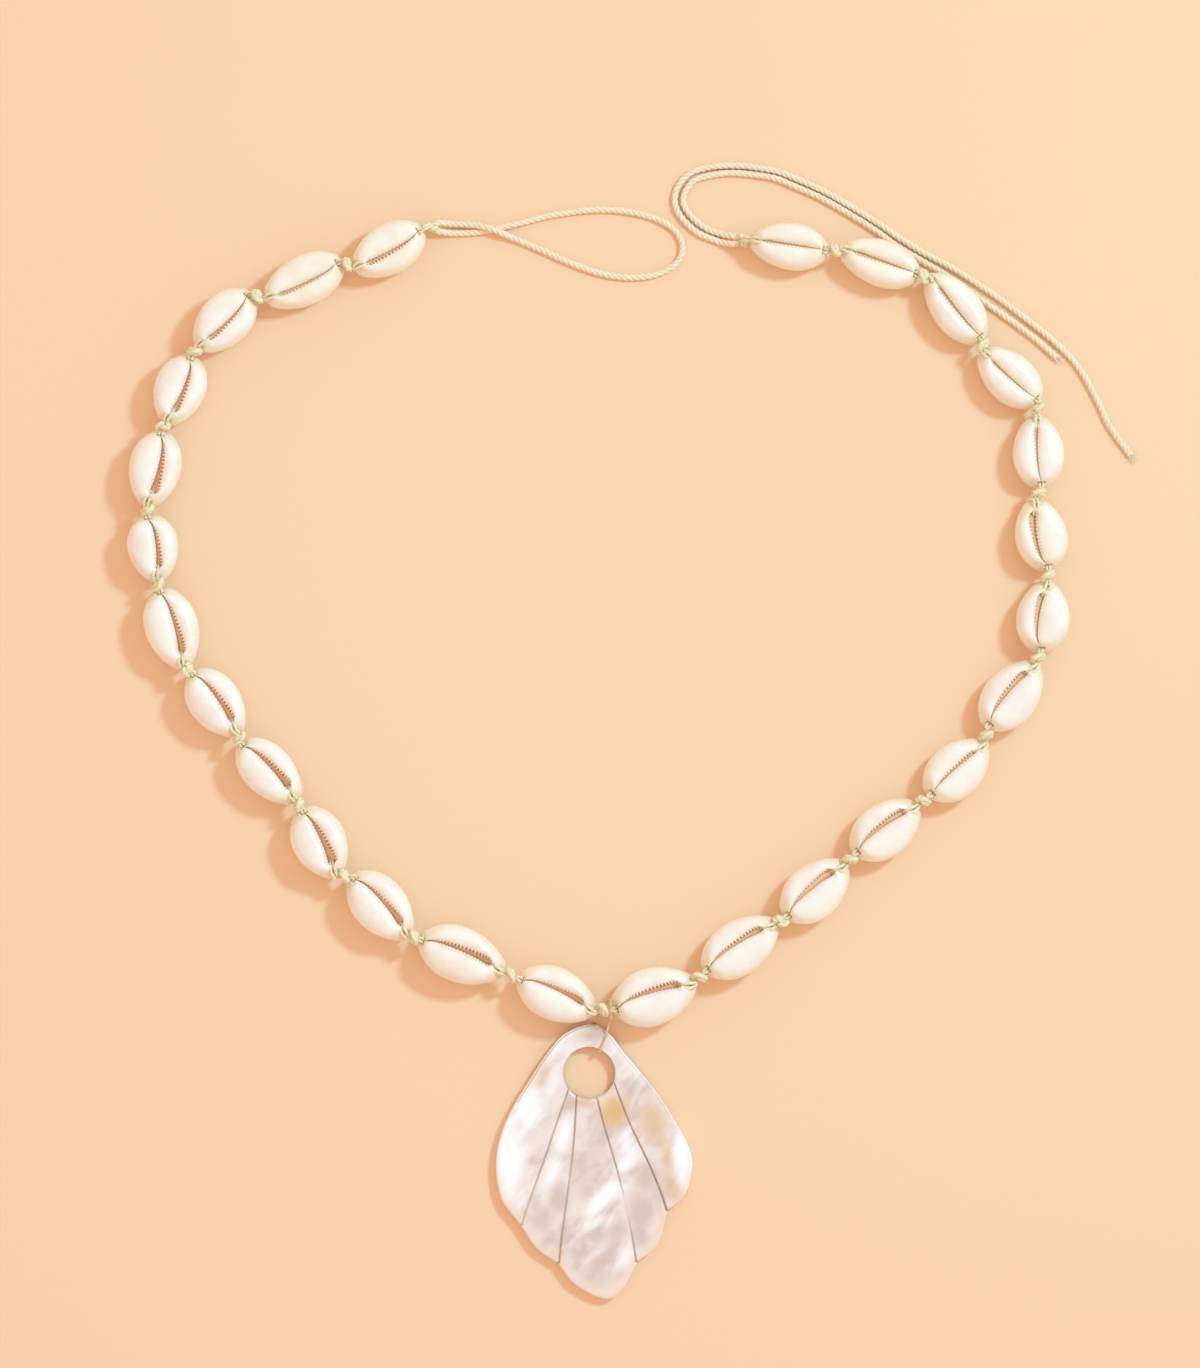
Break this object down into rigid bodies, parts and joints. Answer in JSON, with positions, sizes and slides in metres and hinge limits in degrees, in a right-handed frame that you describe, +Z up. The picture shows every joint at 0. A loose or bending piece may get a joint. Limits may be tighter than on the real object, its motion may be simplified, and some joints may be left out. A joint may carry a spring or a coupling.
{
  "type": "shell necklace",
  "caption": "Necklace of cowrie shells on a knotted cord with a scallop-shaped mother-of-pearl pendant, closed by a cord loop and two loose ties.",
  "frame": {"origin": "centre of the shells' and pendant's bounding box, on the surface that the necklace lies on", "axes": "+Z up from the surface, +Y from the pendant towards the loop and ties, +X to the right seen from above"},
  "size_m": [0.212, 0.2399, 0.0085],
  "materials": {
    "cowrie_left_01": "glossy natural porcelain of a cowrie shell, white with a faint cream and rose tint",
    "cowrie_left_02": "glossy natural porcelain of a cowrie shell, white with a faint cream and rose tint",
    "cowrie_left_03": "glossy natural porcelain of a cowrie shell, white with a faint cream and rose tint",
    "cowrie_left_04": "glossy natural porcelain of a cowrie shell, white with a faint cream and rose tint",
    "cowrie_left_05": "glossy natural porcelain of a cowrie shell, white with a faint cream and rose tint",
    "cowrie_left_06": "glossy natural porcelain of a cowrie shell, white with a faint cream and rose tint",
    "cowrie_left_07": "glossy natural porcelain of a cowrie shell, white with a faint cream and rose tint",
    "cowrie_left_08": "glossy natural porcelain of a cowrie shell, white with a faint cream and rose tint",
    "cowrie_left_09": "glossy natural porcelain of a cowrie shell, white with a faint cream and rose tint",
    "cowrie_left_10": "glossy natural porcelain of a cowrie shell, white with a faint cream and rose tint",
    "cowrie_left_11": "glossy natural porcelain of a cowrie shell, white with a faint cream and rose tint",
    "cowrie_left_12": "glossy natural porcelain of a cowrie shell, white with a faint cream and rose tint",
    "cowrie_left_13": "glossy natural porcelain of a cowrie shell, white with a faint cream and rose tint",
    "cowrie_right_01": "glossy natural porcelain of a cowrie shell, white with a faint cream and rose tint",
    "cowrie_right_02": "glossy natural porcelain of a cowrie shell, white with a faint cream and rose tint",
    "cowrie_right_03": "glossy natural porcelain of a cowrie shell, white with a faint cream and rose tint",
    "cowrie_right_04": "glossy natural porcelain of a cowrie shell, white with a faint cream and rose tint",
    "cowrie_right_05": "glossy natural porcelain of a cowrie shell, white with a faint cream and rose tint",
    "cowrie_right_06": "glossy natural porcelain of a cowrie shell, white with a faint cream and rose tint",
    "cowrie_right_07": "glossy natural porcelain of a cowrie shell, white with a faint cream and rose tint",
    "cowrie_right_08": "glossy natural porcelain of a cowrie shell, white with a faint cream and rose tint",
    "cowrie_right_09": "glossy natural porcelain of a cowrie shell, white with a faint cream and rose tint",
    "cowrie_right_10": "glossy natural porcelain of a cowrie shell, white with a faint cream and rose tint",
    "cowrie_right_11": "glossy natural porcelain of a cowrie shell, white with a faint cream and rose tint",
    "cowrie_right_12": "glossy natural porcelain of a cowrie shell, white with a faint cream and rose tint",
    "cowrie_right_13": "glossy natural porcelain of a cowrie shell, white with a faint cream and rose tint",
    "stringing_cord": "twisted cream-yellow cotton cord, matte",
    "loop_cord": "twisted cream cotton cord, matte",
    "tie_cord_long": "twisted cream cotton cord, matte",
    "tie_cord_short": "twisted cream cotton cord, matte",
    "pendant": "polished mother-of-pearl, pearly white with soft grey, lilac and tan clouds",
    "pendant_thread": "thin beige cotton thread, matte"
  },
  "bodies": {
    "root": {"cowrie_left_01": "cowrie_left_01", "cowrie_left_02": "cowrie_left_02", "cowrie_left_03": "cowrie_left_03", "cowrie_left_04": "cowrie_left_04", "cowrie_left_05": "cowrie_left_05", "cowrie_left_06": "cowrie_left_06", "cowrie_left_07": "cowrie_left_07", "cowrie_left_08": "cowrie_left_08", "cowrie_left_09": "cowrie_left_09", "cowrie_left_10": "cowrie_left_10", "cowrie_left_11": "cowrie_left_11", "cowrie_left_12": "cowrie_left_12", "cowrie_left_13": "cowrie_left_13", "cowrie_right_01": "cowrie_right_01", "cowrie_right_02": "cowrie_right_02", "cowrie_right_03": "cowrie_right_03", "cowrie_right_04": "cowrie_right_04", "cowrie_right_05": "cowrie_right_05", "cowrie_right_06": "cowrie_right_06", "cowrie_right_07": "cowrie_right_07", "cowrie_right_08": "cowrie_right_08", "cowrie_right_09": "cowrie_right_09", "cowrie_right_10": "cowrie_right_10", "cowrie_right_11": "cowrie_right_11", "cowrie_right_12": "cowrie_right_12", "cowrie_right_13": "cowrie_right_13", "stringing_cord": "stringing_cord", "loop_cord": "loop_cord", "tie_cord_long": "tie_cord_long", "tie_cord_short": "tie_cord_short", "pendant": "pendant", "pendant_thread": "pendant_thread"}
  },
  "joints": []
}
